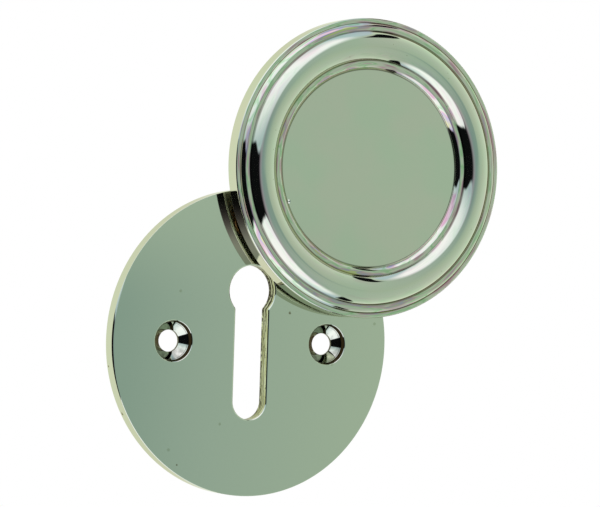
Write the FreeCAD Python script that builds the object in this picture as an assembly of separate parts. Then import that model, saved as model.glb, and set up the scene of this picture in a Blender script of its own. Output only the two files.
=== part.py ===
import FreeCAD, Part
import math
import os

# A round keyhole escutcheon with a swing cover, in millimetres.
# The back plate is screwed to a door over its lock. The cover hangs on a pin near the plate's top,
# and is shown swung aside, so that the keyhole is open.
# Frame: X to the right, Z up, the front faces -Y. The origin is the centre of the plate's back face.

# Back plate, a disc of brass
plate_diameter = 45.0
plate_thickness = 2.1
edge_round = 0.25

# Keyhole, a round head on a straight slot with a round foot
key_head_radius = 3.75
key_head_height = 7.6
key_slot_width = 5.4
key_foot_drop = 8.6

# Screw holes, countersunk nearly through the plate under a short steep lip
screw_spacing = 25.3
screw_hole_radius = 1.6
sink_mouth_radius = 3.0
sink_lip_radius = 2.8
sink_lip_depth = 0.7
sink_edge_round = 0.15
sink_land = 0.4

# Pivot, a pin set into the cover, run through the plate and peened over into its back
pivot_inset = 3.9
pin_radius = 1.75
pin_running_clearance = 0.05
spigot_radius = 1.5
spigot_depth = 2.2
spigot_clearance = 0.01
peen_radius = 2.95
peen_depth = 0.85
peen_sink = 0.05

# Wave spring washer, which holds the cover off the plate and wherever it is put
cover_standoff = 0.95
washer_hole_clearance = 0.1
washer_outer_radius = 3.2
washer_thickness = 0.25
washer_clearance = 0.02
washer_waves = 3
washer_points_per_wave = 12

# Swing cover, a turned disc. From its rim inwards it has a land, a small step up, a tread, a bold round
# bead, a second tread and a step down to a flat mirror, which is level with the land.
# A step's foot and top angles are the places of its ends on its arc, from straight out, 0, to forward, 90.
cover_diameter = 44.4
cover_back_chamfer = 0.2
rim_height = 2.65
rim_corner_radius = 0.25
land_width = 0.65
step_rise = 0.65
step_foot_angle = 22
step_top_angle = 68
tread_width = 0.6
bead_width = 4.4
bead_rise = 1.15

# How far the cover is swung aside, from closed over the keyhole
swing_angle = 114.4

# How far each cutter reaches past the plate's two faces
overrun = 3.0

ORIGIN = FreeCAD.Vector(0, 0, 0)
FORWARD = FreeCAD.Vector(0, -1, 0)
TURNING_AXIS = FreeCAD.Vector(0, 1, 0)

plate_radius = plate_diameter / 2
pivot_height = plate_radius - pivot_inset
cover_back = plate_thickness + cover_standoff


def at(radius, forward):
    """A point of a turned profile: out from the axis, and forward from the door."""
    return FreeCAD.Vector(radius, -forward, 0)


def lines(*points):
    """Straight edges through the points, in order."""
    return [Part.makeLine(a, b) for a, b in zip(points, points[1:])]


def arc(centre_radius, centre_forward, radius, start, end):
    """An arc of a turned profile. Its angles run from straight out, 0, to straight forward, 90."""
    def on_arc(angle):
        turn = math.radians(angle)
        return at(centre_radius + radius * math.cos(turn), centre_forward + radius * math.sin(turn))
    return Part.Arc(on_arc(start), on_arc((start + end) / 2), on_arc(end)).toShape()


def turned(edges):
    """The solid that a closed profile sweeps about the turning axis."""
    wire = Part.Wire(Part.__sortEdges__(edges))
    return Part.Face(wire).revolve(ORIGIN, TURNING_AXIS, 360)


def keyhole_cutter():
    """The keyhole's outline, run through the plate: head, two straight sides and round foot."""
    half_width = key_slot_width / 2
    neck = key_head_height - math.sqrt(key_head_radius ** 2 - half_width ** 2)
    foot = -key_foot_drop

    def point(x, z):
        return FreeCAD.Vector(x, overrun, z)
    head_arc = Part.Arc(point(half_width, neck), point(0, key_head_height + key_head_radius),
                        point(-half_width, neck)).toShape()
    foot_arc = Part.Arc(point(-half_width, foot), point(0, foot - half_width),
                        point(half_width, foot)).toShape()
    sides = [Part.makeLine(point(x, neck), point(x, foot)) for x in (-half_width, half_width)]
    outline = Part.Wire(Part.__sortEdges__([head_arc, foot_arc] + sides))
    return Part.Face(outline).extrude(FORWARD * (plate_thickness + 2 * overrun))


def screw_hole_cutter(x):
    """One screw hole: a steep lip at the mouth, the countersink below it and a short bore."""
    front = plate_thickness + overrun
    profile = lines(
        at(0, front), at(sink_mouth_radius, front), at(sink_mouth_radius, plate_thickness),
        at(sink_lip_radius, plate_thickness - sink_lip_depth), at(screw_hole_radius, sink_land),
        at(screw_hole_radius, -overrun), at(0, -overrun), at(0, front))
    hole = turned(profile)
    hole.translate(FreeCAD.Vector(x, 0, 0))
    return hole


def pivot_hole_cutter():
    """The pin's hole through the plate, flared at the back for the peened end."""
    bore = pin_radius + pin_running_clearance
    flare = peen_radius + pin_running_clearance
    front = plate_thickness + overrun
    profile = lines(
        at(0, front), at(bore, front), at(bore, peen_depth + pin_running_clearance),
        at(flare, pin_running_clearance), at(flare, -overrun), at(0, -overrun), at(0, front))
    hole = turned(profile)
    hole.translate(FreeCAD.Vector(0, 0, pivot_height))
    return hole


def back_plate():
    """The disc with its keyhole, screw holes and pivot hole, its front edges rounded by buffing."""
    disc = Part.makeCylinder(plate_radius, plate_thickness, ORIGIN, FORWARD)
    disc = disc.cut(keyhole_cutter())
    front = [edge for edge in disc.Edges if edge.BoundBox.YMax < edge_round / 2 - plate_thickness]
    disc = disc.makeFillet(edge_round, front)
    for x in (-screw_spacing / 2, screw_spacing / 2):
        disc = disc.cut(screw_hole_cutter(x))
    mouths = [edge for edge in disc.Edges
              if isinstance(edge.Curve, Part.Circle) and abs(edge.Curve.Radius - sink_mouth_radius) < 1e-6]
    disc = disc.makeFillet(sink_edge_round, mouths)
    return disc.cut(pivot_hole_cutter())


def step_arc_radius():
    """The radius of a step's arc, which climbs step_rise between its foot and top angles."""
    climb = math.sin(math.radians(step_top_angle)) - math.sin(math.radians(step_foot_angle))
    return step_rise / climb


def step_width():
    """How far a step runs in from its foot to its top."""
    run = math.cos(math.radians(step_foot_angle)) - math.cos(math.radians(step_top_angle))
    return step_arc_radius() * run


def step(foot_radius, foot_forward, side):
    """A small convex step up from its foot. It faces outwards with side 1 and inwards with side -1."""
    radius = step_arc_radius()
    centre_radius = foot_radius - side * radius * math.cos(math.radians(step_foot_angle))
    centre_forward = foot_forward - radius * math.sin(math.radians(step_foot_angle))
    if side > 0:
        return arc(centre_radius, centre_forward, radius, step_foot_angle, step_top_angle)
    return arc(centre_radius, centre_forward, radius, 180 - step_top_angle, 180 - step_foot_angle)


def swing_cover():
    """The turned cover, closed over the plate, with a blind hole in its back for the pin."""
    rim = cover_diameter / 2
    outer_foot = rim - land_width
    outer_top = outer_foot - step_width()
    bead_outer = outer_top - tread_width
    bead_inner = bead_outer - bead_width
    inner_top = bead_inner - tread_width
    mirror = inner_top - step_width()
    low = cover_back + rim_height
    high = low + step_rise

    corner_radius = rim - rim_corner_radius
    corner_forward = low - rim_corner_radius
    bead = Part.Arc(at(bead_inner, high), at((bead_inner + bead_outer) / 2, high + bead_rise),
                    at(bead_outer, high)).toShape()
    profile = [
        arc(corner_radius, corner_forward, rim_corner_radius, 0, 90),
        step(outer_foot, low, 1),
        bead,
        step(mirror, low, -1),
    ]
    profile += lines(at(corner_radius, low), at(outer_foot, low))
    profile += lines(at(outer_top, high), at(bead_outer, high))
    profile += lines(at(bead_inner, high), at(inner_top, high))
    profile += lines(
        at(mirror, low), at(0, low), at(0, cover_back), at(rim - cover_back_chamfer, cover_back),
        at(rim, cover_back + cover_back_chamfer), at(rim, corner_forward))
    blind_hole = Part.makeCylinder(spigot_radius + spigot_clearance, spigot_depth + spigot_clearance,
                                   FreeCAD.Vector(0, -cover_back, pivot_height), FORWARD)
    return turned(profile).cut(blind_hole)


def pivot_pin():
    """The pin: a spigot in the cover, a shoulder against its back, and the end peened out in the plate."""
    profile = lines(
        at(0, peen_sink), at(peen_radius, peen_sink), at(pin_radius, peen_depth),
        at(pin_radius, cover_back), at(spigot_radius, cover_back),
        at(spigot_radius, cover_back + spigot_depth), at(0, cover_back + spigot_depth), at(0, peen_sink))
    pin = turned(profile)
    pin.translate(FreeCAD.Vector(0, 0, pivot_height))
    return pin


def spring_washer():
    """A ring of spring strip in even waves, whose crests touch the plate and the cover in turn."""
    middle = plate_thickness + cover_standoff / 2
    wave = (cover_standoff - washer_thickness) / 2 - washer_clearance
    count = washer_waves * washer_points_per_wave

    def wavy_ring(radius):
        """A closed curve round the pin, which rises and falls with the waves."""
        points = []
        for step in range(count):
            turn = 2 * math.pi * step / count
            forward = middle - washer_thickness / 2 + wave * math.cos(washer_waves * turn)
            points.append(FreeCAD.Vector(
                radius * math.cos(turn), -forward, pivot_height + radius * math.sin(turn)))
        curve = Part.BSplineCurve()
        curve.interpolate(Points=points, PeriodicFlag=True)
        return curve.toShape()
    inner = wavy_ring(pin_radius + washer_hole_clearance)
    outer = wavy_ring(washer_outer_radius)
    return Part.makeRuledSurface(inner, outer).extrude(FORWARD * washer_thickness)


def swung(shape):
    """The shape turned about the pivot to where the photographed cover stands."""
    moved = shape.copy()
    moved.rotate(FreeCAD.Vector(0, 0, pivot_height), FORWARD, swing_angle)
    return moved


parts = {
    "back_plate": back_plate(),
    "swing_cover": swung(swing_cover()),
    "pivot_pin": swung(pivot_pin()),
    "spring_washer": swung(spring_washer()),
}

os.makedirs("parts", exist_ok=True)
for name, shape in parts.items():
    solid = shape.Solids[0]
    solid.exportStep(f"parts/{name}.step")
    print(f"{name}: valid {solid.isValid()}, {len(shape.Solids)} solid, {solid.Volume:.2f} mm3")
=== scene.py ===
import bpy
import math
import numpy as np
from mathutils import Matrix, Vector
from mathutils.geometry import tessellate_polygon


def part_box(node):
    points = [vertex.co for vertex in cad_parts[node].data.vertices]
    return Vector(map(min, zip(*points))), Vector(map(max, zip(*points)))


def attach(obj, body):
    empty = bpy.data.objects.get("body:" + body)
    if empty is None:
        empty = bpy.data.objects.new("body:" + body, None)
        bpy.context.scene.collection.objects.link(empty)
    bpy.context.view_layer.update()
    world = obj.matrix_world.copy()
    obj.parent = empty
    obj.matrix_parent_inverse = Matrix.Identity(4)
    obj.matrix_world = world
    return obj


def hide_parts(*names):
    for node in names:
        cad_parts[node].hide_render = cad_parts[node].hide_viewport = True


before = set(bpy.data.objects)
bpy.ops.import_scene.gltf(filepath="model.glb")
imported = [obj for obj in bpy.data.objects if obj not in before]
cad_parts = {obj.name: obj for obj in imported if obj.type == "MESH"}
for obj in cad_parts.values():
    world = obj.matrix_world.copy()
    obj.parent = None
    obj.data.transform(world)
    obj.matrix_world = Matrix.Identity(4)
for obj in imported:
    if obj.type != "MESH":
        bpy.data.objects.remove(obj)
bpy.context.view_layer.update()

# Back plate: a flat disc stamped from brass, with a keyhole and two countersunk screw holes.
# It is nickel plated and buffed to a mirror on the front. Buffing by hand has eased its front edges, most of
# all at the left, and its back, which lies on the door, is only plated.
mm = 0.001
plate_low, plate_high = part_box("back_plate")
plate_radius = (plate_high.x - plate_low.x) / 2
plate_thickness = -plate_low.y
back_edge_round = 0.06 * mm
flat_margin = 0.55 * mm

# How steep the eased front edge is along its run, from flat, 0, to upright, 90, and how wide it is round
# the plate, by the angle from the right, and round the keyhole.
edge_run = [0, 0.25, 0.34, 0.88, 1]
edge_steepness = [0, 4, 24, 40, 90]
edge_rows = 25
rim_ease_angles = [0, 130, 156, 161, 168, 187, 196, 206, 245, 260, 360]
rim_ease_widths = np.array([0.06, 0.05, 0.05, 0.24, 0.36, 0.36, 0.2, 0.12, 0.14, 0.08, 0.06]) * mm
keyhole_ease = 0.24 * mm

key_head_radius = 3.75 * mm
key_head_height = 7.6 * mm
key_half_width = 2.7 * mm
key_foot_drop = 8.6 * mm
key_neck_round = 0.6 * mm

screw_offset = 12.65 * mm
screw_hole_radius = 1.6 * mm
sink_mouth_radius = 3.0 * mm
sink_lip_radius = 2.8 * mm
sink_lip_depth = 0.7 * mm
sink_edge_round = 0.08 * mm
sink_land = 0.4 * mm
groove_radius = 2.66 * mm

pin_low, pin_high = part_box("pivot_pin")
pivot_x = (pin_low.x + pin_high.x) / 2
pivot_z = (pin_low.z + pin_high.z) / 2
pivot_hole_radius = 1.8 * mm
flare_radius = 3.0 * mm
flare_depth = 0.9 * mm
flare_land = 0.05 * mm

# Places and radii, in mm, of the few brown spots on the plate, two of them on its rim.
stains = [((-22.16, -0.5, -3.9), 0.22), ((-19.78, -0.6, -10.72), 0.36), ((-11.5, -2.1, -17.94), 0.2),
          ((6.3, -2.1, 4.5), 0.3)]
stain_raggedness = 0.35 * mm
sink_shade_fade = 0.05 * mm

# How far the keyhole's wall lies from the plate's middle at most, sideways and up or down, and at what
# depth the stamping tore it: the least depth and what wanders on top of that. Its creases lie at the tear
# and in front of it.
key_reach_x = 5 * mm
key_reach_z = 13 * mm
tear_depth = 0.8 * mm
tear_wander = 1.4 * mm
creases = [0.0, -0.62 * mm]
crease_half_width = 0.28 * mm

smudge_width = 6 * mm
back_roughness = 0.35
plate_nickel_hex = "CBCFB9"
edge_hex = "E6E3DA"
pit_hex = "E6E8E0"
stain_hex = "8E7C5C"
# The dark brown painted into the countersinks is painted shade and painted dark reflection.
painted_sink_shade_hex = "382B1E"
wall_hex = "F4F6E8"
streak_hex = "DAD8B8"
torn_hex = "33261A"


def arc(centre, radius, start, end, step=4.0):
    """Points of an arc about the centre, with angles in degrees, one every few degrees."""
    count = max(2, int(abs(end - start) / step) + 1)
    turn = np.radians(np.linspace(start, end, count))
    return np.stack([centre[0] + radius * np.cos(turn), centre[1] + radius * np.sin(turn)], 1)


def softened(points, width, turn=3.0, spacing=1.5 * mm):
    """A profile as buffing leaves it, with its outward normals.

    The corner points are joined by straight lines and cut into equal short steps. Each point then becomes
    the mean of the points within the width about it, which rounds every corner and keeps straight runs.
    Points are kept once per few degrees of turn, once per spacing where the profile runs straight, and at
    both ends of every straight run, so that it shades flat.
    The material lies to the right of the way the profile runs, so the normal is a quarter turn left."""
    points = np.array(points, float)
    run = np.concatenate([[0], np.cumsum(np.hypot(*np.diff(points, axis=0).T))])
    reach = 8
    window = 2 * reach + 1
    step = width / (2 * reach)
    at = np.arange(0, run[-1], step)
    fine = np.stack([np.interp(at, run, points[:, k]) for k in (0, 1)], 1)
    before = fine[0] - (fine[1] - fine[0]) * np.arange(reach, 0, -1)[:, None]
    after = fine[-1] + (fine[-1] - fine[-2]) * np.arange(1, reach + 1)[:, None]
    padded = np.concatenate([before, fine, after])
    kernel = np.ones(window) / window
    smooth = np.stack([np.convolve(padded[:, k], kernel, "valid") for k in (0, 1)], 1)
    way = np.gradient(smooth, axis=0)
    heading = np.unwrap(np.arctan2(way[:, 1], way[:, 0]))
    bend = np.abs(np.gradient(heading))
    share = bend / math.radians(turn) + step / spacing
    measure = np.concatenate([[0], np.cumsum(share)[:-1]])
    kept = np.interp(np.linspace(0, measure[-1], int(measure[-1]) + 2), measure, np.arange(len(at)))
    straight = 1e-5
    bend_ends = np.flatnonzero(np.diff(bend > straight))
    kept = np.unique(np.concatenate([np.rint(kept).astype(int), bend_ends]))
    normal = np.stack([-np.sin(heading), np.cos(heading)], 1)
    return smooth[kept], normal[kept]


def eased_edges(widths):
    """The plate's edge profile with its normals, once for each width of the eased front edge.

    The eased edge's steepness goes through edge_steepness along its run. Its points are the running sums
    of the steepness's cosines, outwards, and sines, backwards, both scaled so that it is as wide as asked.
    From there the wall runs straight back to a small round, and the back is flat."""
    steep = np.radians(np.interp(np.linspace(0, 1, edge_rows), edge_run, edge_steepness))
    out, back = np.cumsum(np.cos(steep)), np.cumsum(np.sin(steep))
    scale = np.asarray(widths)[:, None] / (out[-1] - out[0])
    front = np.stack([(out - out[-1]) * scale, plate_thickness - (back - back[0]) * scale], 2)
    low_round = arc((-back_edge_round, back_edge_round), back_edge_round, 0, -90, 22.5)
    ends = np.array([(-flat_margin, plate_thickness)]), np.concatenate([low_round, [(-flat_margin, 0)]])
    start, rest = (np.broadcast_to(part, (len(widths),) + part.shape) for part in ends)
    low_turn = np.radians(np.linspace(0, -90, len(low_round)))
    normals = np.concatenate([[(0, 1)], np.stack([np.sin(steep), np.cos(steep)], 1),
                              np.stack([np.cos(low_turn), np.sin(low_turn)], 1), [(0, -1)]])
    return np.concatenate([start, front, rest], 1), normals


def circle(x, z, radius, outward, count=96):
    """A closed round path. Its normals point away from the centre with outward 1, and to it with -1."""
    turn = np.arange(count) * 2 * np.pi / count
    radial = np.stack([np.cos(turn), np.sin(turn)], 1)
    return np.array([x, z]) + radius * radial, outward * radial


def keyhole():
    """The keyhole's closed path, with normals into the hole: the round foot, a straight side, a small
    round at the neck, the round head, and the same back down. All runs meet in line with each other.
    The head's arc is a few degrees short at both ends, because the neck's rounds hold those points."""
    reach = key_head_radius + key_neck_round
    side = key_half_width + key_neck_round
    drop = math.sqrt(reach ** 2 - side ** 2)
    neck = key_head_height - drop
    lean = math.degrees(math.atan2(drop, side))
    head = (0, key_head_height)
    foot = (0, -key_foot_drop)
    short = 3
    runs = []

    def add_arc(centre, radius, start, end, sign, count):
        turn = np.radians(np.linspace(start, end, count))
        radial = np.stack([np.cos(turn), np.sin(turn)], 1)
        runs.append((np.array(centre) + radius * radial, sign * radial))

    def add_side(x, start, end, count):
        along = np.linspace(start, end, count)[1:-1]
        runs.append((np.stack([np.full_like(along, x), along], 1),
                     np.tile([-np.sign(x), 0.0], (len(along), 1))))
    add_arc(foot, key_half_width, 180, 360, -1, 61)
    add_side(key_half_width, -key_foot_drop, neck, 14)
    add_arc((side, neck), key_neck_round, 180, 180 - lean, 1, 12)
    add_arc(head, key_head_radius, -lean + short, 180 + lean - short, -1, 96)
    add_arc((-side, neck), key_neck_round, lean, 0, 1, 12)
    add_side(-key_half_width, neck, -key_foot_drop, 14)
    return np.concatenate([run[0] for run in runs]), np.concatenate([run[1] for run in runs])


def carried(path, profile):
    """A profile carried along a closed path: each point is the path's point, moved out along the path's
    normal by the profile's first value, and forward, along -Y, by its second. The profile is the same all
    along, or there is one for each point of the path."""
    (place, out), (points, normals) = path, profile

    def grid(start, pair):
        pair = np.broadcast_to(pair, (len(place),) + pair.shape[-2:])
        flat = start[:, None, :] + out[:, None, :] * pair[..., :1]
        return np.concatenate([flat[..., :1], -pair[..., 1:], flat[..., 1:]], 2)
    return grid(place, points), grid(np.zeros_like(place), normals)


def shell(name, strips, fills):
    """One closed mesh of carried strips, whose end rows are joined by flat fills.

    A fill is a facing, 1 forward or -1 back, and its loops, each a strip's number and row 0 or -1."""
    counts = [strip[0].shape[:2] for strip in strips]
    starts = np.concatenate([[0], np.cumsum([a * b for a, b in counts])])
    verts = np.concatenate([strip[0].reshape(-1, 3) for strip in strips])
    normals = np.concatenate([strip[1].reshape(-1, 3) for strip in strips])
    faces = []
    for start, (around, along) in zip(starts, counts):
        index = start + np.arange(around * along).reshape(around, along)
        following = np.roll(index, -1, 0)
        quads = np.stack([index[:, :-1], following[:, :-1], following[:, 1:], index[:, 1:]], 2).reshape(-1, 4)
        a, b, c = verts[quads[:, 0]], verts[quads[:, 1]], verts[quads[:, 2]]
        agrees = (np.cross(b - a, c - a) * normals[quads[:, 0]]).sum()
        faces += (quads if agrees > 0 else quads[:, ::-1]).tolist()
    for facing, loops in fills:
        rings = []
        for strip, row in loops:
            around, along = counts[strip]
            rings.append(starts[strip] + np.arange(around) * along + row % along)
        flat = [verts[ring][:, [0, 2]].tolist() for ring in rings]
        joined = np.concatenate(rings)
        corners = joined[np.array(tessellate_polygon(flat))]
        a, b, c = (verts[corners[:, k]] for k in range(3))
        backwards = np.cross(b - a, c - a)[:, 1] * facing > 0
        corners[backwards] = corners[backwards][:, ::-1]
        faces += corners.tolist()
    mesh = bpy.data.meshes.new(name)
    mesh.from_pydata(verts.tolist(), [], faces)
    mesh.polygons.foreach_set("use_smooth", np.ones(len(mesh.polygons), bool))
    mesh.normals_split_custom_set_from_vertices(normals.tolist())
    piece = bpy.data.objects.new(name, mesh)
    bpy.context.scene.collection.objects.link(piece)
    return piece


def linear(hex_colour):
    """An sRGB hex colour as linear RGBA."""
    values = [int(hex_colour[k:k + 2], 16) / 255 for k in (0, 2, 4)]
    return [v / 12.92 if v <= 0.04045 else ((v + 0.055) / 1.055) ** 2.4 for v in values] + [1.0]


def add(tree, kind, settings=None, inputs=None):
    """Adds one node to a tree with its settings. Each input gets a plain value, or a link from a socket or
    from a node, which stands for its first output in use."""
    new = tree.nodes.new(kind)
    for key, value in (settings or {}).items():
        setattr(new, key, value)
    for key, value in (inputs or {}).items():
        if isinstance(value, bpy.types.Node):
            value = next(socket for socket in value.outputs if socket.enabled)
        if isinstance(value, bpy.types.NodeSocket):
            tree.links.new(value, new.inputs[key])
        else:
            new.inputs[key].default_value = value
    return new


def material(name):
    """An empty node material, and its tree and output."""
    made = bpy.data.materials.new(name)
    made.use_nodes = True
    made.node_tree.nodes.clear()
    return made, made.node_tree, made.node_tree.nodes.new("ShaderNodeOutputMaterial")


def where(tree, *parts):
    """The share of a surface on which all the parts hold, which is their product. A part is a share
    itself, or a value with the number at which it holds fully and the number at which it no longer does.
    In between it falls smoothly from 1 to 0."""
    shares = []
    for part in parts:
        if isinstance(part, tuple):
            value, full, none = part
            low, high, start, end = (full, none, 1.0, 0.0) if full < none else (none, full, 0.0, 1.0)
            part = add(tree, "ShaderNodeMapRange", {"interpolation_type": "SMOOTHSTEP"},
                       {"Value": value, "From Min": low, "From Max": high, "To Min": start, "To Max": end})
        shares.append(part)
    product = shares[0]
    for share in shares[1:]:
        product = add(tree, "ShaderNodeMath", {"operation": "MULTIPLY"}, {0: product, 1: share})
    return product


def pits(tree, place, spacing, radius, kept):
    """Where pits lie on the front: one in each cell of a grid with this spacing, in the kept share of the
    cells. A pit fades from two fifths of its radius to its edge, and noise makes its outline ragged."""
    turned = add(tree, "ShaderNodeMapping", {}, {"Vector": place, "Rotation": (math.pi / 2, 0, 0)})
    wobble = add(tree, "ShaderNodeTexNoise", {}, {"Vector": turned, "Scale": 2 / radius})
    shift = add(tree, "ShaderNodeVectorMath", {"operation": "SCALE"},
                {0: wobble.outputs["Color"], "Scale": radius})
    ragged = add(tree, "ShaderNodeVectorMath", {"operation": "ADD"}, {0: turned, 1: shift})
    cells = add(tree, "ShaderNodeTexVoronoi", {"voronoi_dimensions": "2D"},
                {"Vector": ragged, "Scale": 1 / spacing})
    pick = add(tree, "ShaderNodeSeparateColor", {}, {0: cells.outputs["Color"]})
    chosen = add(tree, "ShaderNodeMath", {"operation": "LESS_THAN"}, {0: pick.outputs[0], 1: kept})
    return where(tree, (cells.outputs["Distance"], 0.4 * radius / spacing, radius / spacing), chosen)


def mirror_finish(tree, output, colour, dull_shares, normal=None):
    """Polished metal. Faint smudges vary its roughness, and each dull share raises it to its own value.
    Seen aslant it stays nearly as warm and dark as nickel does, which the tint of the edges gives."""
    coordinates = add(tree, "ShaderNodeTexCoord")
    smudge = add(tree, "ShaderNodeTexNoise", {},
                 {"Vector": coordinates.outputs["Object"], "Scale": 1 / smudge_width, "Detail": 3.0})
    rough = add(tree, "ShaderNodeMapRange", {},
                {"Value": smudge.outputs["Fac"], "From Min": 0.3, "From Max": 0.7,
                 "To Min": 0.02, "To Max": 0.045})
    for share, value in dull_shares:
        rough = add(tree, "ShaderNodeMix", {}, {"Factor": share, "A": rough, "B": value})
    inputs = {"Base Color": colour, "Metallic": 1.0, "Roughness": rough, "Specular Tint": linear(edge_hex)}
    if normal:
        inputs["Normal"] = normal
    shader = add(tree, "ShaderNodeBsdfPrincipled", {}, inputs)
    tree.links.new(shader.outputs[0], output.inputs[0])


drilled_edge_width = 0.08 * mm
sink_run = sink_mouth_radius - screw_hole_radius
sink_profile = softened(
    [(-flat_margin, plate_thickness), (-sink_edge_round, plate_thickness),
     (0.3 * sink_edge_round, plate_thickness - sink_edge_round),
     (sink_mouth_radius - sink_lip_radius, plate_thickness - sink_lip_depth),
     (sink_run, sink_land), (sink_run, 0), (sink_run - flat_margin, 0)], drilled_edge_width)
flare_run = pivot_hole_radius - flare_radius
pivot_profile = softened(
    [(-flat_margin, plate_thickness), (0, plate_thickness), (0, flare_depth),
     (flare_run, flare_land), (flare_run, 0), (flare_run - flat_margin, 0)], drilled_edge_width)
rim_path = circle(0, 0, plate_radius, 1, 480)
rim_angles = np.arange(len(rim_path[0])) * 360 / len(rim_path[0])
key_path = keyhole()
plate = shell(
    "plate_shell",
    [carried(rim_path, eased_edges(np.interp(rim_angles, rim_ease_angles, rim_ease_widths))),
     carried(key_path, eased_edges(np.full(len(key_path[0]), keyhole_ease))),
     carried(circle(-screw_offset, 0, sink_mouth_radius, -1), sink_profile),
     carried(circle(screw_offset, 0, sink_mouth_radius, -1), sink_profile),
     carried(circle(pivot_x, pivot_z, pivot_hole_radius, -1), pivot_profile)],
    [(1, [(k, 0) for k in range(5)]), (-1, [(k, -1) for k in range(5)])])

# Polished nickel plate: a mirror with a warm, faintly green cast. The finest pits are drawn coarser than
# they are, so that they still show as specks. The countersinks' lips and bores and the keyhole's wall
# aren't buffed. Painted shade and painted dark reflection darken the countersinks, most of all at the
# bottom, and the wall keeps the marks of the stamping, streaked, creased and torn brown at its back.
# The normal's Y tells how a surface faces: -1 to the front, 0 upright and 1 to the back.
tinting = {"data_type": "RGBA", "blend_type": "MULTIPLY"}
nickel, tree, output = material("polished_nickel_plate")
coordinates = add(tree, "ShaderNodeTexCoord")
place = coordinates.outputs["Object"]
spot = add(tree, "ShaderNodeSeparateXYZ", {}, {0: place})
facing = add(tree, "ShaderNodeSeparateXYZ", {}, {0: coordinates.outputs["Normal"]}).outputs["Y"]
not_back = where(tree, (facing, 0.3, 0.6))
back = where(tree, (facing, 0.7, 0.3))
pitted = where(tree, (facing, -0.99, -0.95), pits(tree, place, 6.5 * mm, 0.32 * mm, kept=0.3))
colour = add(tree, "ShaderNodeMix", tinting,
             {"Factor": pitted, "A": linear(plate_nickel_hex), "B": linear(pit_hex)})

roughened = add(tree, "ShaderNodeTexNoise", {}, {"Vector": place, "Scale": 1 / (0.3 * mm), "Detail": 2.0})
shift = add(tree, "ShaderNodeVectorMath", {"operation": "SCALE"},
            {0: roughened.outputs["Color"], "Scale": stain_raggedness})
ragged_place = add(tree, "ShaderNodeVectorMath", {"operation": "ADD"}, {0: place, 1: shift})
for centre, radius in stains:
    mean_place = [value * mm + stain_raggedness / 2 for value in centre]
    away = add(tree, "ShaderNodeVectorMath", {"operation": "DISTANCE"}, {0: ragged_place, 1: mean_place})
    stained = where(tree, (away, 0.2 * radius * mm, radius * mm))
    colour = add(tree, "ShaderNodeMix", tinting, {"Factor": stained, "A": colour, "B": linear(stain_hex)})

# Painted shade and painted dark reflection in the screw holes, by the distance from the nearer hole's axis.
one_side = add(tree, "ShaderNodeVectorMath", {"operation": "ABSOLUTE"}, {0: place})
on_plane = add(tree, "ShaderNodeVectorMath", {"operation": "MULTIPLY"}, {0: one_side, 1: (1.0, 0.0, 1.0)})
from_hole = add(tree, "ShaderNodeVectorMath", {"operation": "DISTANCE"},
                {0: on_plane, 1: (screw_offset, 0.0, 0.0)}).outputs["Value"]
lip = where(tree, (from_hole, sink_lip_radius, sink_lip_radius - sink_shade_fade),
            (from_hole, sink_mouth_radius - 0.03 * mm, sink_mouth_radius + 0.02 * mm))
groove = where(tree, (from_hole, groove_radius, groove_radius - sink_shade_fade),
               (from_hole, groove_radius, groove_radius + sink_shade_fade))
bore = where(tree, (from_hole, screw_hole_radius + 0.02 * mm, screw_hole_radius + 0.06 * mm))
mottle = add(tree, "ShaderNodeTexNoise", {}, {"Vector": place, "Scale": 1 / (0.8 * mm), "Detail": 3.0})
# Painted shade: the cones are darker towards the bottom, with a mottle.
lower_is_darker = add(tree, "ShaderNodeMath", {"operation": "MULTIPLY_ADD"},
              {0: spot.outputs["Z"], 1: -0.06 / mm, 2: mottle.outputs["Fac"]})
cone = where(tree, (from_hole, sink_lip_radius, sink_lip_radius + sink_shade_fade), (lower_is_darker, 0.7, 0.38))
for shaded_ring, strength in ((lip, 1.0), (groove, 0.8), (bore, 0.75), (cone, 0.42)):
    colour = add(tree, "ShaderNodeMix", tinting,
                 {"Factor": where(tree, shaded_ring, not_back, strength), "A": colour, "B": linear(painted_sink_shade_hex)})

# The keyhole's wall: streaks along it, and flecks and creases of torn metal, all plainer towards the head.
depth = add(tree, "ShaderNodeMath", {"operation": "ADD"}, {0: spot.outputs["Y"], 1: plate_thickness})
beside = add(tree, "ShaderNodeMath", {"operation": "ABSOLUTE"}, {0: spot.outputs["X"]})
height = add(tree, "ShaderNodeMath", {"operation": "ABSOLUTE"}, {0: spot.outputs["Z"]})
slant = add(tree, "ShaderNodeMath", {"operation": "ABSOLUTE"}, {0: facing})
key_wall = where(tree, (slant, 0.2, 0.4), (beside, key_reach_x, key_reach_x + 1 * mm),
                 (height, key_reach_z, key_reach_z + 1 * mm))
drawn_out = add(tree, "ShaderNodeMapping", {}, {"Vector": place, "Scale": (0.12, 1.0, 0.12)})
streaks = add(tree, "ShaderNodeTexNoise", {}, {"Vector": drawn_out, "Scale": 1 / (0.28 * mm), "Detail": 2.0})
drift = add(tree, "ShaderNodeTexNoise", {}, {"Vector": place, "Scale": 1 / (2.2 * mm), "Detail": 2.0})
torn_from = add(tree, "ShaderNodeMath", {"operation": "MULTIPLY_ADD"},
                {0: drift.outputs["Fac"], 1: tear_wander, 2: tear_depth})
past_tear = add(tree, "ShaderNodeMath", {"operation": "SUBTRACT"}, {0: depth, 1: torn_from})
grain = add(tree, "ShaderNodeTexNoise", {}, {"Vector": place, "Scale": 1 / (0.42 * mm), "Detail": 3.0})
loosened = add(tree, "ShaderNodeMath", {"operation": "MULTIPLY_ADD"},
               {0: where(tree, (past_tear, 0.45 * mm, 0.0)), 1: 0.22, 2: grain.outputs["Fac"]})
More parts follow.
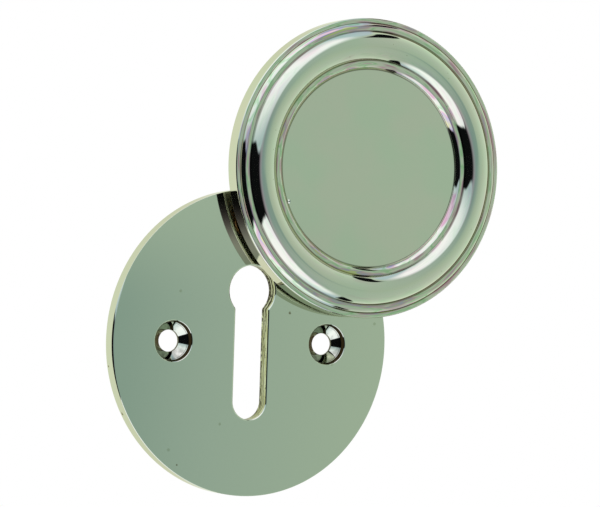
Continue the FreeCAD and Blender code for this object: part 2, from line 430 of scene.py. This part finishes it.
to_head = add(tree, "ShaderNodeMapRange", {},
              {"Value": spot.outputs["Z"], "From Min": 2.0 * mm, "From Max": 5.5 * mm,
               "To Min": 0.85, "To Max": 1.0})
marks = where(tree, (loosened, 0.66, 0.62), to_head)
crease_strength = add(tree, "ShaderNodeMath", {"operation": "POWER"}, {0: to_head, 1: 4.0})
for crease in creases:
    apart = add(tree, "ShaderNodeMath", {"operation": "SUBTRACT"}, {0: past_tear, 1: crease})
    distance = add(tree, "ShaderNodeMath", {"operation": "ABSOLUTE"}, {0: apart})
    line = where(tree, (distance, 0.1 * mm, crease_half_width), crease_strength)
    marks = add(tree, "ShaderNodeMath", {"operation": "MAXIMUM"}, {0: marks, 1: line})
colour = add(tree, "ShaderNodeMix", tinting, {"Factor": key_wall, "A": colour, "B": linear(wall_hex)})
for share, mark_hex in (((streaks.outputs["Fac"], 0.62, 0.42), streak_hex), (marks, torn_hex)):
    colour = add(tree, "ShaderNodeMix", tinting,
                 {"Factor": where(tree, share, key_wall), "A": colour, "B": linear(mark_hex)})
mirror_finish(tree, output, colour, ((pitted, 0.1), (key_wall, 0.22), (back, back_roughness)))
plate.data.materials.append(nickel)
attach(plate, "plate")
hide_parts("back_plate")

# Swing cover: a disc of brass turned on a lathe, with a plain rim, a small step, a bold round bead, a
# second small step and a flat mirror in the middle. It is nickel plated and buffed to a mirror all over.
# The pin is set in a blind hole in its back.
cover_low, cover_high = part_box("swing_cover")
cover_x = (cover_low.x + cover_high.x) / 2
cover_z = (cover_low.z + cover_high.z) / 2
cover_radius = (cover_high.x - cover_low.x) / 2
cover_back = -cover_high.y
rim_height = 2.65 * mm
rim_corner_radius = 0.25 * mm
back_chamfer = 0.2 * mm
land_width = 0.65 * mm
step_rise = 0.65 * mm
step_foot_angle = 22
step_top_angle = 68
tread_width = 0.6 * mm
bead_width = 4.4 * mm
bead_rise = 1.15 * mm
mirror_margin = 0.8 * mm
back_margin = 0.8 * mm
spigot_hole_radius = 1.51 * mm
spigot_hole_depth = 2.21 * mm
buffing_width = 0.12 * mm
nick_angle = math.radians(202)
nick_radius = 14.55 * mm
nick_width = 0.46 * mm
nick_depth = 0.22 * mm

# Rings of the cover's front, in mm from its axis: where each starts, is full, starts to fade and ends.
front_rings = {"inner tread": (14.5, 14.9, 15.9, 16.3), "bead": (15.9, 16.5, 19.9, 20.3),
               "outer tread": (20.0, 20.4, 22.0, 22.15)}
# The film's tints as it thickens, and the lines of painted shade in the creases, by their radius and half
# width in mm.
film_tints = [(0.0, "F0BCE0"), (0.2, "FDF6FC"), (0.42, "FFFFFF"), (0.54, "CCEFD0"), (0.64, "FFFFFF"),
              (0.78, "F6CEE8"), (0.9, "D8CEF8"), (1.0, "F4F0C0")]
crease_shade_lines = [(14.6, 0.11), (15.96, 0.2), (20.26, 0.2), (21.5, 0.1)]
cover_nickel_hex = "CFD0BA"
# The brownish dark painted along the creases is painted shade.
warm_haze_hex = "FFFDFE"
cool_haze_hex = "F8FFFC"
crease_shade_hex = "584E38"
film_on_slopes = 0.25
film_ring_width = 2.2 * mm


def ring_step(foot_radius, foot_forward, side):
    """A small convex step of the cover, from its foot to its top, on one arc. It faces outwards with side 1
    and inwards with side -1. Its foot and top angles are measured from straight out, 0, to forward, 90."""
    foot, top = math.radians(step_foot_angle), math.radians(step_top_angle)
    radius = step_rise / (math.sin(top) - math.sin(foot))
    centre = (foot_radius - side * radius * math.cos(foot), foot_forward - radius * math.sin(foot))
    if side > 0:
        return arc(centre, radius, step_foot_angle, step_top_angle)
    return arc(centre, radius, 180 - step_foot_angle, 180 - step_top_angle)


def cover_profile():
    """The cover's turned profile, from its mirror out over the rim to its back."""
    low = cover_back + rim_height
    high = low + step_rise
    land = cover_radius - land_width
    outer = ring_step(land, low, 1)
    bead_outer = outer[-1][0] - tread_width
    bead_inner = bead_outer - bead_width
    inner_top = bead_inner - tread_width
    mirror = inner_top - (land - outer[-1][0])
    inner = ring_step(mirror, low, -1)
    bead_radius = (bead_width ** 2 / 4 + bead_rise ** 2) / (2 * bead_rise)
    half = math.degrees(math.asin(bead_width / 2 / bead_radius))
    bead_centre = (bead_inner + bead_width / 2, high + bead_rise - bead_radius)
    bead = arc(bead_centre, bead_radius, 90 + half, 90 - half, 1)
    corner = arc((cover_radius - rim_corner_radius, low - rim_corner_radius), rim_corner_radius, 90, 0)
    back = [(cover_radius, cover_back + back_chamfer), (cover_radius - back_chamfer, cover_back),
            (cover_radius - back_margin, cover_back)]
    points = np.concatenate([[(mirror - mirror_margin, low)], inner, bead, outer[::-1], corner, back])
    return softened(points - [cover_radius, 0], buffing_width, 2.5)


hole_profile = softened(
    [(spigot_hole_radius - back_margin, cover_back + spigot_hole_depth), (0, cover_back + spigot_hole_depth),
     (0, cover_back), (-back_margin, cover_back)], drilled_edge_width)
cover = shell(
    "cover_shell",
    [carried(circle(cover_x, cover_z, cover_radius, 1, 360), cover_profile()),
     carried(circle(pivot_x, pivot_z, spigot_hole_radius, -1), hole_profile)],
    [(1, [(0, 0)]), (-1, [(0, -1), (1, -1)]), (-1, [(1, 0)])])

# The same nickel plate on the cover. In the narrow treads and steps, where the mop barely reaches, a thin
# film tints it pink, green and violet, more faintly so on the bead's slopes. Elsewhere a haze too thin to see
# by itself warms the mirror here and cools it there. Painted shade darkens the creases along the feet of
# the bead and of both steps. There is a small nick in the mirror's edge at the left.
nickel, tree, output = material("polished_nickel_cover")
coordinates = add(tree, "ShaderNodeTexCoord")
place = coordinates.outputs["Object"]
facing = add(tree, "ShaderNodeSeparateXYZ", {}, {0: coordinates.outputs["Normal"]}).outputs["Y"]
not_back = where(tree, (facing, 0.3, 0.6))
back = where(tree, (facing, 0.7, 0.3))
centred = add(tree, "ShaderNodeMapping", {}, {"Vector": place, "Location": (-cover_x, 0, -cover_z)})
on_plane = add(tree, "ShaderNodeVectorMath", {"operation": "MULTIPLY"}, {0: centred, 1: (1.0, 0.0, 1.0)})
from_axis = add(tree, "ShaderNodeVectorMath", {"operation": "LENGTH"}, {0: on_plane}).outputs["Value"]
on_ring = {}
for name, (starts, full, fades, ends) in front_rings.items():
    on_ring[name] = where(tree, (from_axis, full * mm, starts * mm), (from_axis, fades * mm, ends * mm))

haze = add(tree, "ShaderNodeTexNoise", {}, {"Vector": place, "Scale": 1 / (8 * mm), "Detail": 2.0})
cool = add(tree, "ShaderNodeMapRange", {}, {"Value": haze.outputs["Fac"], "From Min": 0.38, "From Max": 0.62})
haze_tint = add(tree, "ShaderNodeMix", {"data_type": "RGBA"},
                {"Factor": cool, "A": linear(warm_haze_hex), "B": linear(cool_haze_hex)})
colour = add(tree, "ShaderNodeMix", tinting, {"Factor": 1.0, "A": linear(cover_nickel_hex), "B": haze_tint})
pitted = where(tree, not_back, on_ring["bead"], pits(tree, place, 2.4 * mm, 0.14 * mm, kept=0.14))
colour = add(tree, "ShaderNodeMix", tinting, {"Factor": pitted, "A": colour, "B": linear(pit_hex)})

# The film's thickness changes round the cover and from ring to ring.
on_treads = add(tree, "ShaderNodeMath", {"operation": "MAXIMUM"},
                {0: on_ring["outer tread"], 1: on_ring["inner tread"]})
on_slopes = where(tree, (facing, -0.88, -0.97), on_ring["bead"], film_on_slopes)
film_share = add(tree, "ShaderNodeMath", {"operation": "MAXIMUM"}, {0: on_treads, 1: on_slopes})
around = add(tree, "ShaderNodeVectorMath", {"operation": "NORMALIZE"}, {0: on_plane})
ring = add(tree, "ShaderNodeMath", {"operation": "DIVIDE"}, {0: from_axis, 1: film_ring_width})
ring_shift = add(tree, "ShaderNodeCombineXYZ", {}, {"Y": ring})
along = add(tree, "ShaderNodeVectorMath", {"operation": "ADD"}, {0: around, 1: ring_shift})
cloud = add(tree, "ShaderNodeTexNoise", {}, {"Vector": along, "Scale": 2.6, "Detail": 2.0})
thickness = add(tree, "ShaderNodeMapRange", {},
                {"Value": cloud.outputs["Fac"], "From Min": 0.3, "From Max": 0.7})
film = add(tree, "ShaderNodeValToRGB", {}, {"Fac": thickness})
while len(film.color_ramp.elements) < len(film_tints):
    film.color_ramp.elements.new(1.0)
for element, (position, hex_colour) in zip(film.color_ramp.elements, film_tints):
    element.position = position
    element.color = linear(hex_colour)
colour = add(tree, "ShaderNodeMix", tinting,
             {"Factor": where(tree, not_back, film_share), "A": colour, "B": film})

# Painted shade: thin dark lines in the creases at the mirror's edge and the feet of the bead and steps,
# patchy along the film.
crease_shade = 0.0
for line_radius, half_width in crease_shade_lines:
    apart = add(tree, "ShaderNodeMath", {"operation": "SUBTRACT"}, {0: from_axis, 1: line_radius * mm})
    distance = add(tree, "ShaderNodeMath", {"operation": "ABSOLUTE"}, {0: apart})
    line = where(tree, (distance, 0.2 * half_width * mm, half_width * mm))
    crease_shade = add(tree, "ShaderNodeMath", {"operation": "MAXIMUM"}, {0: crease_shade, 1: line})
patchy = add(tree, "ShaderNodeMapRange", {}, {"Value": thickness, "To Min": 0.85, "To Max": 0.4})
colour = add(tree, "ShaderNodeMix", tinting,
             {"Factor": where(tree, not_back, crease_shade, patchy), "A": colour, "B": linear(crease_shade_hex)})

nick_place = (nick_radius * math.cos(nick_angle), 0.0, nick_radius * math.sin(nick_angle))
from_nick = add(tree, "ShaderNodeVectorMath", {"operation": "DISTANCE"}, {0: on_plane, 1: nick_place})
nick = where(tree, not_back, (from_nick, 0.0, nick_width))
dented = add(tree, "ShaderNodeBump", {"invert": True},
             {"Height": nick, "Strength": 1.0, "Distance": nick_depth})
mirror_finish(tree, output, colour, ((pitted, 0.25), (back, back_roughness)), dented)
cover.data.materials.append(nickel)
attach(cover, "cover")
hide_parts("swing_cover")

# Pivot pin: turned from brass rod, pressed into the cover, run through the plate and peened over there.
# It was peened after the plating, so it is bare brass: fine turning rings on its shank, hammer dimples on
# its peened end, and a brown tarnish that is deeper between the dimples.
dimple_width = 0.9 * mm
dimple_depth = 0.05 * mm
ring_pitch = 0.14 * mm
ring_depth = 0.006 * mm
brass_hex = "D9B566"
brass_tarnish_hex = "B08A52"
brass, tree, output = material("turned_brass_rod")
coordinates = add(tree, "ShaderNodeTexCoord")
place = coordinates.outputs["Object"]
spot = add(tree, "ShaderNodeSeparateXYZ", {}, {0: place})
facing = add(tree, "ShaderNodeSeparateXYZ", {}, {0: coordinates.outputs["Normal"]}).outputs["Y"]
peened = where(tree, (facing, 0.9, 0.6))
phase = add(tree, "ShaderNodeMath", {"operation": "MULTIPLY"},
            {0: spot.outputs["Y"], 1: 2 * math.pi / ring_pitch})
rings = add(tree, "ShaderNodeMath", {"operation": "SINE"}, {0: phase})
end_place = add(tree, "ShaderNodeMapping", {}, {"Vector": place, "Rotation": (math.pi / 2, 0, 0)})
dimples = add(tree, "ShaderNodeTexVoronoi", {"voronoi_dimensions": "2D", "feature": "SMOOTH_F1"},
              {"Vector": end_place, "Scale": 1 / dimple_width, "Smoothness": 0.3})
ring_bump = add(tree, "ShaderNodeBump", {}, {"Height": rings, "Strength": 1.0, "Distance": ring_depth})
end_height = add(tree, "ShaderNodeMath", {"operation": "MULTIPLY"},
                 {0: dimples.outputs["Distance"], 1: peened})
end_bump = add(tree, "ShaderNodeBump", {},
               {"Height": end_height, "Strength": 1.0, "Distance": dimple_depth, "Normal": ring_bump})
patches = add(tree, "ShaderNodeTexNoise", {}, {"Vector": place, "Scale": 1 / (1.2 * mm), "Detail": 4.0})
hollow = add(tree, "ShaderNodeMath", {"operation": "MULTIPLY_ADD"},
             {0: end_height, 1: 0.35, 2: patches.outputs["Fac"]})
tarnish = where(tree, (hollow, 0.8, 0.4))
colour = add(tree, "ShaderNodeMix", {"data_type": "RGBA"},
             {"Factor": tarnish, "A": linear(brass_hex), "B": linear(brass_tarnish_hex)})
rough = add(tree, "ShaderNodeMapRange", {}, {"Value": tarnish, "To Min": 0.2, "To Max": 0.42})
shader = add(tree, "ShaderNodeBsdfPrincipled", {},
             {"Base Color": colour, "Metallic": 1.0, "Roughness": rough, "Normal": end_bump})
tree.links.new(shader.outputs[0], output.inputs[0])
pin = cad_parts["pivot_pin"]
pin.data.materials.clear()
pin.data.materials.append(brass)

# Spring washer: a ring cut from rolled phosphor bronze strip and pressed into three waves. It keeps the
# strip's fine rolling lines, drawn coarser here than they are, and patches of brown.
line_width = 0.09 * mm
line_depth = 0.004 * mm
bronze_hex = "CE9560"
bronze_brown_hex = "9C6438"
bronze, tree, output = material("rolled_phosphor_bronze")
place = add(tree, "ShaderNodeTexCoord").outputs["Object"]
rolled = add(tree, "ShaderNodeMapping", {}, {"Vector": place, "Scale": (0.06, 1.0, 1.0)})
lines = add(tree, "ShaderNodeTexNoise", {}, {"Vector": rolled, "Scale": 1 / line_width, "Detail": 2.0})
patches = add(tree, "ShaderNodeTexNoise", {}, {"Vector": place, "Scale": 1 / (1.6 * mm), "Detail": 3.0})
brown = where(tree, (patches.outputs["Fac"], 0.7, 0.35))
colour = add(tree, "ShaderNodeMix", {"data_type": "RGBA"},
             {"Factor": brown, "A": linear(bronze_hex), "B": linear(bronze_brown_hex)})
rough = add(tree, "ShaderNodeMapRange", {}, {"Value": lines.outputs["Fac"], "To Min": 0.18, "To Max": 0.4})
scored = add(tree, "ShaderNodeBump", {},
             {"Height": lines.outputs["Fac"], "Strength": 1.0, "Distance": line_depth})
shader = add(tree, "ShaderNodeBsdfPrincipled", {},
             {"Base Color": colour, "Metallic": 1.0, "Roughness": rough, "Normal": scored})
tree.links.new(shader.outputs[0], output.inputs[0])
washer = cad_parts["spring_washer"]
washer.data.materials.clear()
washer.data.materials.append(bronze)

# Studio: a pale floor below the object, and around it a room with a grey card in front, soft lights above
# and below the card, a dark end to the left and a brown one to the right.
# A mirror finish shows only what stands around it, so the card and the lights are drawn with care.
floor_drop = 0.2
floor_size = 1.2
paper_hex = "F4F4F2"
floor_mesh = bpy.data.meshes.new("studio_floor")
half_floor = floor_size / 2
floor_mesh.from_pydata(
    [(-half_floor, -half_floor, -floor_drop), (half_floor, -half_floor, -floor_drop),
     (half_floor, half_floor, -floor_drop), (-half_floor, half_floor, -floor_drop)], [], [(0, 1, 2, 3)])
floor = bpy.data.objects.new("studio_floor", floor_mesh)
bpy.context.scene.collection.objects.link(floor)
paper, tree, output = material("white_paper")
shader = add(tree, "ShaderNodeBsdfDiffuse", {}, {"Color": linear(paper_hex)})
tree.links.new(shader.outputs[0], output.inputs[0])
floor_mesh.materials.append(paper)
floor.visible_glossy = False

# Where the two lights end, and where thin dark gaps cross the room, as pairs of azimuth from straight out
# and elevation. The gaps' half widths are pairs of azimuth and degrees.
edges = {
    "upper light": [(-180, 10), (-62, 14), (-25, 6), (-15, 8), (-3, 20), (1, 28), (9, 37), (18, 45), (34, 54),
                    (48, 58), (90, 63), (115, 60), (180, 10)],
    "lower light": [(-180, -30), (-90, -38), (-35, -25), (-24, -21), (-16, -26), (-8, -35), (8, -53),
                    (25, -63), (45, -71), (90, -78), (130, -70), (180, -30)],
    "upper gap": [(-180, 40), (20, 44), (45, 49.5), (60, 53), (75, 55), (105, 51), (180, 40)],
    "lower gap": [(-180, -60), (20, -56), (45, -67.5), (60, -71), (75, -73), (105, -72), (180, -60)],
    "gap width": [(-180, 0), (30, 0), (45, 2.6), (60, 4), (75, 4.4), (84, 3), (92, 1), (105, 0), (180, 0)],
}
# The lights' edges blur by these degrees, most of all about one azimuth and out to the reach given first.
soft_azimuth = 14.0
soft_reach = (16.0, 40.0)
soft_degrees = (10.0, 1.5)
gap_blur = 1.2
# The lights are softboxes, brighter than white paper. Tones run along the azimuth on the card, and up the
# elevation on the lights and in the brown room past the card.
lamp_strength = 1.85
card_tones = [(-22, "9C8FA6"), (0, "849595"), (10, "8C9C9D"), (26, "92A29D"), (50, "9FABA7"), (84, "B2C1BA"),
              (97, "C7D0CA")]
level_tones = [(-22, "8C7F96"), (0, "70848A"), (10, "7B8E90"), (26, "91A19B"), (50, "A0ADA5"), (84, "B2C1BA"),
               (97, "C7D0CA")]
low_tones = [(-22, "8C7F96"), (0, "70848A"), (21, "758A8A"), (25.3, "7A8E8D"), (26.6, "879896"),
             (30, "94A39B"), (84, "B2C1BA"), (97, "C7D0CA")]
brown_room_tones = [(-90, "433E3C"), (-18, "3C3328"), (-5, "4A4236"), (38, "565146"), (90, "5E6160")]
light_tones = [(-90, "A7B8C7"), (-75, "C8D4E4"), (-60, "E9EAFC"), (-30, "E2E5F8"), (10, "97AAB9"),
               (30, "D2D9E9"), (50, "E6E5FA"), (62, "EAE5FB"), (90, "ADBFCB")]
side_light_hex = "A2B4C8"
dark_studio_hex = "0A0B0E"
backdrop_hex = "C4C9BF"

world = bpy.data.worlds.new("studio")
bpy.context.scene.world = world
world.use_nodes = True
tree = world.node_tree
tree.nodes.clear()
output = tree.nodes.new("ShaderNodeOutputWorld")
way = add(tree, "ShaderNodeSeparateXYZ", {}, {0: add(tree, "ShaderNodeTexCoord").outputs["Generated"]})
forward = add(tree, "ShaderNodeMath", {"operation": "MULTIPLY"}, {0: way.outputs["Y"], 1: -1.0})
bearing = add(tree, "ShaderNodeMath", {"operation": "ARCTAN2"}, {0: way.outputs["X"], 1: forward})
azimuth = add(tree, "ShaderNodeMath", {"operation": "DEGREES"}, {0: bearing})
rise = add(tree, "ShaderNodeMath", {"operation": "ARCSINE"}, {0: way.outputs["Z"]})
elevation = add(tree, "ShaderNodeMath", {"operation": "DEGREES"}, {0: rise})
turn_share = add(tree, "ShaderNodeMapRange", {}, {"Value": azimuth, "From Min": -180.0, "From Max": 180.0})

ends = {}
for name, points in edges.items():
    curve_node = add(tree, "ShaderNodeFloatCurve", {}, {"Value": turn_share})
    curve = curve_node.mapping.curves[0]
    while len(curve.points) < len(points):
        curve.points.new(0.5, 0.5)
    for handle, (at_azimuth, at_elevation) in zip(curve.points, points):
        handle.location = ((at_azimuth + 180) / 360, (at_elevation + 90) / 180)
        handle.handle_type = "AUTO_CLAMPED"
    curve_node.mapping.update()
    ends[name] = add(tree, "ShaderNodeMapRange", {"clamp": False},
                     {"Value": curve_node, "To Min": -90.0, "To Max": 90.0})

tone = {}
for name, value, stops in (("card", azimuth, card_tones), ("level", azimuth, level_tones),
                           ("low", azimuth, low_tones), ("light", elevation, light_tones),
                           ("brown room", elevation, brown_room_tones)):
    first, last = stops[0][0], stops[-1][0]
    along = add(tree, "ShaderNodeMapRange", {}, {"Value": value, "From Min": first, "From Max": last})
    ramp = add(tree, "ShaderNodeValToRGB", {}, {"Fac": along})
    while len(ramp.color_ramp.elements) < len(stops):
        ramp.color_ramp.elements.new(1.0)
    for element, (at_angle, hex_colour) in zip(ramp.color_ramp.elements, stops):
        element.position = (at_angle - first) / (last - first)
        element.color = linear(hex_colour)
    tone[name] = ramp.outputs["Color"]

# The card is darker near the horizon, and darker still just below it. Past its right edge is the brown
# room, and past its left edge the dark one.
off_level = add(tree, "ShaderNodeMath", {"operation": "ABSOLUTE"}, {0: elevation})
near_level = where(tree, (off_level, 8.0, 22.0))
below_level = where(tree, (elevation, -5.0, -9.0), (elevation, -0.6, 1.6))
past_card = where(tree, (azimuth, 104.0, 97.0))
room = tone["card"]
for share, inner_tone in ((near_level, tone["level"]), (below_level, tone["low"]),
                          (past_card, tone["brown room"])):
    room = add(tree, "ShaderNodeMix", {"data_type": "RGBA"}, {"Factor": share, "A": room, "B": inner_tone})
room = add(tree, "ShaderNodeMix", {"data_type": "RGBA"},
           {"Factor": where(tree, (azimuth, -10.0, -25.0)), "A": linear(dark_studio_hex), "B": room})

# The lights fade into the card slowly in its middle, and more quickly to both sides.
from_soft = add(tree, "ShaderNodeMath", {"operation": "SUBTRACT"}, {0: azimuth, 1: soft_azimuth})
off_soft = add(tree, "ShaderNodeMath", {"operation": "ABSOLUTE"}, {0: from_soft})
softness = add(tree, "ShaderNodeMapRange", {"interpolation_type": "SMOOTHSTEP"},
               {"Value": off_soft, "From Min": soft_reach[0], "From Max": soft_reach[1],
                "To Min": soft_degrees[0], "To Max": soft_degrees[1]})
hardness = add(tree, "ShaderNodeMath", {"operation": "MULTIPLY"}, {0: softness, 1: -1.0})
shares = []
for high_side, low_side in ((elevation, ends["upper light"]), (ends["lower light"], elevation)):
    past = add(tree, "ShaderNodeMath", {"operation": "SUBTRACT"}, {0: high_side, 1: low_side})
    shares.append(add(tree, "ShaderNodeMapRange", {"interpolation_type": "SMOOTHSTEP"},
                      {"Value": past, "From Min": hardness, "From Max": softness}))
light_share = add(tree, "ShaderNodeMath", {"operation": "MAXIMUM"}, {0: shares[0], 1: shares[1]})
side_share = where(tree, (azimuth, 50.0, 18.0))
lamp = add(tree, "ShaderNodeMix", {"data_type": "RGBA"},
           {"Factor": side_share, "A": tone["light"], "B": linear(side_light_hex)})
room = add(tree, "ShaderNodeMix", {"data_type": "RGBA"}, {"Factor": light_share, "A": room, "B": lamp})

gap_edge = add(tree, "ShaderNodeMath", {"operation": "ADD"}, {0: ends["gap width"], 1: gap_blur})
gap_reach = add(tree, "ShaderNodeMapRange", {},
                {"Value": ends["gap width"], "From Min": 0.0, "From Max": 2.0})
for name in ("upper gap", "lower gap"):
    apart = add(tree, "ShaderNodeMath", {"operation": "SUBTRACT"}, {0: elevation, 1: ends[name]})
    distance = add(tree, "ShaderNodeMath", {"operation": "ABSOLUTE"}, {0: apart})
    line = add(tree, "ShaderNodeMapRange", {"interpolation_type": "SMOOTHSTEP"},
               {"Value": distance, "From Min": ends["gap width"], "From Max": gap_edge,
                "To Min": 1.0, "To Max": 0.0})
    room = add(tree, "ShaderNodeMix", {"data_type": "RGBA"},
               {"Factor": where(tree, line, gap_reach), "A": room, "B": linear(dark_studio_hex)})

# Behind the object hangs one plain backdrop, from the far left round to the far right.
for behind in ((azimuth, -90.0, -86.0), (azimuth, 150.0, 138.0)):
    room = add(tree, "ShaderNodeMix", {"data_type": "RGBA"},
               {"Factor": where(tree, behind), "A": room, "B": linear(backdrop_hex)})

# Mirrors see the room. The camera sees white paper, and matt surfaces get plain white light.
rays = add(tree, "ShaderNodeLightPath")
white = add(tree, "ShaderNodeMapRange", {},
            {"Value": rays.outputs["Is Camera Ray"], "To Min": 0.9, "To Max": 1.0})
paper_light = add(tree, "ShaderNodeBackground", {}, {"Color": (1, 1, 1, 1), "Strength": white})
room_light = add(tree, "ShaderNodeBackground", {}, {"Color": room, "Strength": lamp_strength})
light = add(tree, "ShaderNodeMixShader", {},
            {0: rays.outputs["Is Glossy Ray"], 1: paper_light, 2: room_light})
tree.links.new(light.outputs[0], output.inputs[0])

# Camera: level with the keyhole's head and well to the left of the plate, through a long lens. Its place,
# its direction and its slight lean are those from which the photograph was taken.
eye = Vector((-239.55, -462.68, 8.92)) * mm
look = Vector((0.4729, 0.88107, 0.00842)).normalized()
lean_right = Vector((0.88054, -0.47292, 0.03162))
lens_mm = 212.48
camera_data = bpy.data.cameras.new("camera")
camera = bpy.data.objects.new("camera", camera_data)
bpy.context.scene.collection.objects.link(camera)
camera_up = lean_right.cross(look).normalized()
camera_right = look.cross(camera_up)
camera.matrix_world = Matrix.Translation(eye) @ Matrix(
    (camera_right, camera_up, -look)).transposed().to_4x4()
camera_data.sensor_fit = "HORIZONTAL"
camera_data.sensor_width = 36
camera_data.lens = lens_mm
camera_data.clip_start = 0.01
bpy.context.scene.camera = camera

bpy.context.scene.view_settings.view_transform = "Standard"
